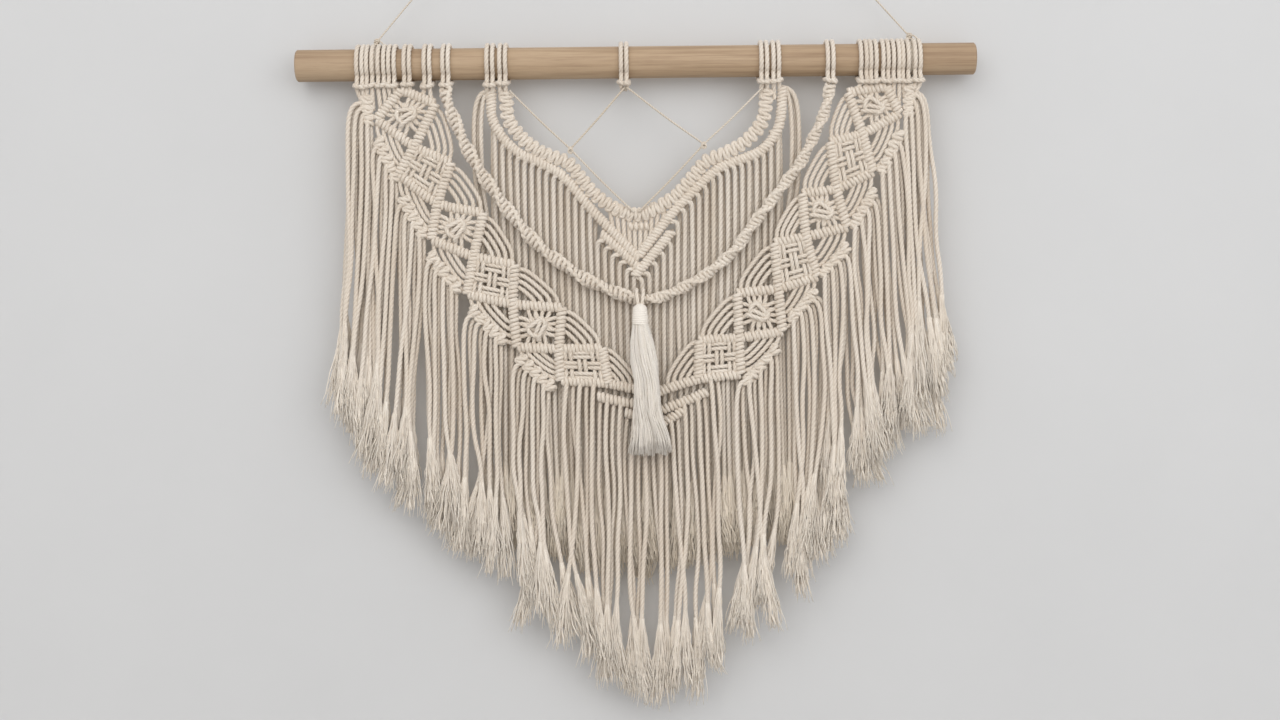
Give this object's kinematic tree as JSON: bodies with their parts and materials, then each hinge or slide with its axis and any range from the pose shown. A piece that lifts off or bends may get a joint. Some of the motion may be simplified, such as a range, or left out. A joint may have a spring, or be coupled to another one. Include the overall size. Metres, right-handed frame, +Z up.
{
  "type": "macrame wall hanging",
  "caption": "Knotted cotton cord wall hanging on a round wooden dowel, with curved diamond bands, a draped swag, a tassel and long frayed fringes.",
  "frame": {"origin": "the nail point: the underside of the twine at the top of the V, where it rests on a nail", "axes": "+Z up, +X to the right as the viewer sees it, the front faces -Y and the wall is towards +Y"},
  "size_m": [0.6, 0.0541, 0.8594],
  "materials": {
    "dowel_wood": "smooth unvarnished hardwood with fine straight grain",
    "cotton_cord": "three-ply twisted natural cotton cord, matt",
    "fringe_cotton": "twisted natural cotton cord with combed, frayed ends",
    "tassel_cotton": "combed soft cotton fibre, matt",
    "twine": "thin twisted natural twine"
  },
  "bodies": {
    "hanger": {"hanger_twine": "twine", "left_twine_tie": "twine", "right_twine_tie": "twine"},
    "dowel": {"dowel": "dowel_wood"},
    "inner_panel": {"inner_lark_heads": "cotton_cord", "left_inner_roll": "cotton_cord", "right_inner_roll": "cotton_cord", "left_inner_sennit": "cotton_cord", "right_inner_sennit": "cotton_cord", "inner_tip_rows": "cotton_cord", "inner_fringe": "fringe_cotton", "net_cords": "twine"},
    "outer_panel": {"outer_lark_heads": "cotton_cord", "left_diamond_1": "cotton_cord", "left_diamond_2": "cotton_cord", "left_diamond_3": "cotton_cord", "left_diamond_4": "cotton_cord", "left_diamond_5": "cotton_cord", "left_diamond_6": "cotton_cord", "right_diamond_1": "cotton_cord", "right_diamond_2": "cotton_cord", "right_diamond_3": "cotton_cord", "right_diamond_4": "cotton_cord", "right_diamond_5": "cotton_cord", "right_diamond_6": "cotton_cord", "left_wings": "cotton_cord", "right_wings": "cotton_cord", "left_aprons": "cotton_cord", "right_aprons": "cotton_cord", "left_scallop_knots": "cotton_cord", "right_scallop_knots": "cotton_cord", "bottom_hitch_rows": "cotton_cord", "left_strand_tops": "cotton_cord", "right_strand_tops": "cotton_cord", "centre_strand_tops": "cotton_cord"},
    "swag": {"swag_lark_heads": "cotton_cord", "swag_left": "cotton_cord", "swag_right": "cotton_cord", "tassel_loop": "cotton_cord"},
    "tassel_head": {"tassel_head": "tassel_cotton", "tassel_wrap": "cotton_cord"},
    "tassel_skirt": {"tassel_skirt": "tassel_cotton"},
    "left_upper_fringe": {"left_upper_fringe": "fringe_cotton"},
    "left_middle_fringe": {"left_middle_fringe": "fringe_cotton"},
    "left_lower_fringe": {"left_lower_fringe": "fringe_cotton"},
    "right_upper_fringe": {"right_upper_fringe": "fringe_cotton"},
    "right_middle_fringe": {"right_middle_fringe": "fringe_cotton"},
    "right_lower_fringe": {"right_lower_fringe": "fringe_cotton"},
    "centre_fringe": {"centre_fringe": "fringe_cotton"}
  },
  "joints": [
    {"name": "dowel_roll", "type": "hinge", "parent": "hanger", "child": "dowel", "pos_m": [0, 0, -0.29], "axis": [1, 0, 0], "continuous": true},
    {"name": "inner_panel_swing", "type": "hinge", "parent": "hanger", "child": "inner_panel", "pos_m": [0, 0, -0.29], "axis": [-1, 0, 0], "range_deg": [0, 60]},
    {"name": "outer_panel_swing", "type": "hinge", "parent": "inner_panel", "child": "outer_panel", "pos_m": [0, 0, -0.29], "axis": [-1, 0, 0], "range_deg": [0, 30]},
    {"name": "swag_swing", "type": "hinge", "parent": "outer_panel", "child": "swag", "pos_m": [0, 0, -0.29], "axis": [-1, 0, 0], "range_deg": [0, 30]},
    {"name": "tassel_sway", "type": "hinge", "parent": "swag", "child": "tassel_head", "pos_m": [0.001, -0.0268, -0.5035], "axis": [0, 1, 0], "range_deg": [-25, 25]},
    {"name": "tassel_skirt_swing", "type": "hinge", "parent": "tassel_head", "child": "tassel_skirt", "pos_m": [0.001, -0.0268, -0.5258], "axis": [-1, 0, 0], "range_deg": [0, 60]},
    {"name": "left_upper_fringe_swing", "type": "hinge", "parent": "outer_panel", "child": "left_upper_fringe", "pos_m": [0, -0.0132, -0.4], "axis": [-1, 0, 0], "range_deg": [0, 60]},
    {"name": "left_middle_fringe_swing", "type": "hinge", "parent": "outer_panel", "child": "left_middle_fringe", "pos_m": [0, -0.0132, -0.499], "axis": [-1, 0, 0], "range_deg": [0, 60]},
    {"name": "left_lower_fringe_swing", "type": "hinge", "parent": "outer_panel", "child": "left_lower_fringe", "pos_m": [0, -0.0132, -0.586], "axis": [-1, 0, 0], "range_deg": [0, 60]},
    {"name": "right_upper_fringe_swing", "type": "hinge", "parent": "outer_panel", "child": "right_upper_fringe", "pos_m": [0, -0.0132, -0.4], "axis": [-1, 0, 0], "range_deg": [0, 60]},
    {"name": "right_middle_fringe_swing", "type": "hinge", "parent": "outer_panel", "child": "right_middle_fringe", "pos_m": [0, -0.0132, -0.499], "axis": [-1, 0, 0], "range_deg": [0, 60]},
    {"name": "right_lower_fringe_swing", "type": "hinge", "parent": "outer_panel", "child": "right_lower_fringe", "pos_m": [0, -0.0132, -0.586], "axis": [-1, 0, 0], "range_deg": [0, 60]},
    {"name": "centre_fringe_swing", "type": "hinge", "parent": "outer_panel", "child": "centre_fringe", "pos_m": [0, -0.0132, -0.652], "axis": [-1, 0, 0], "range_deg": [0, 60]}
  ]
}
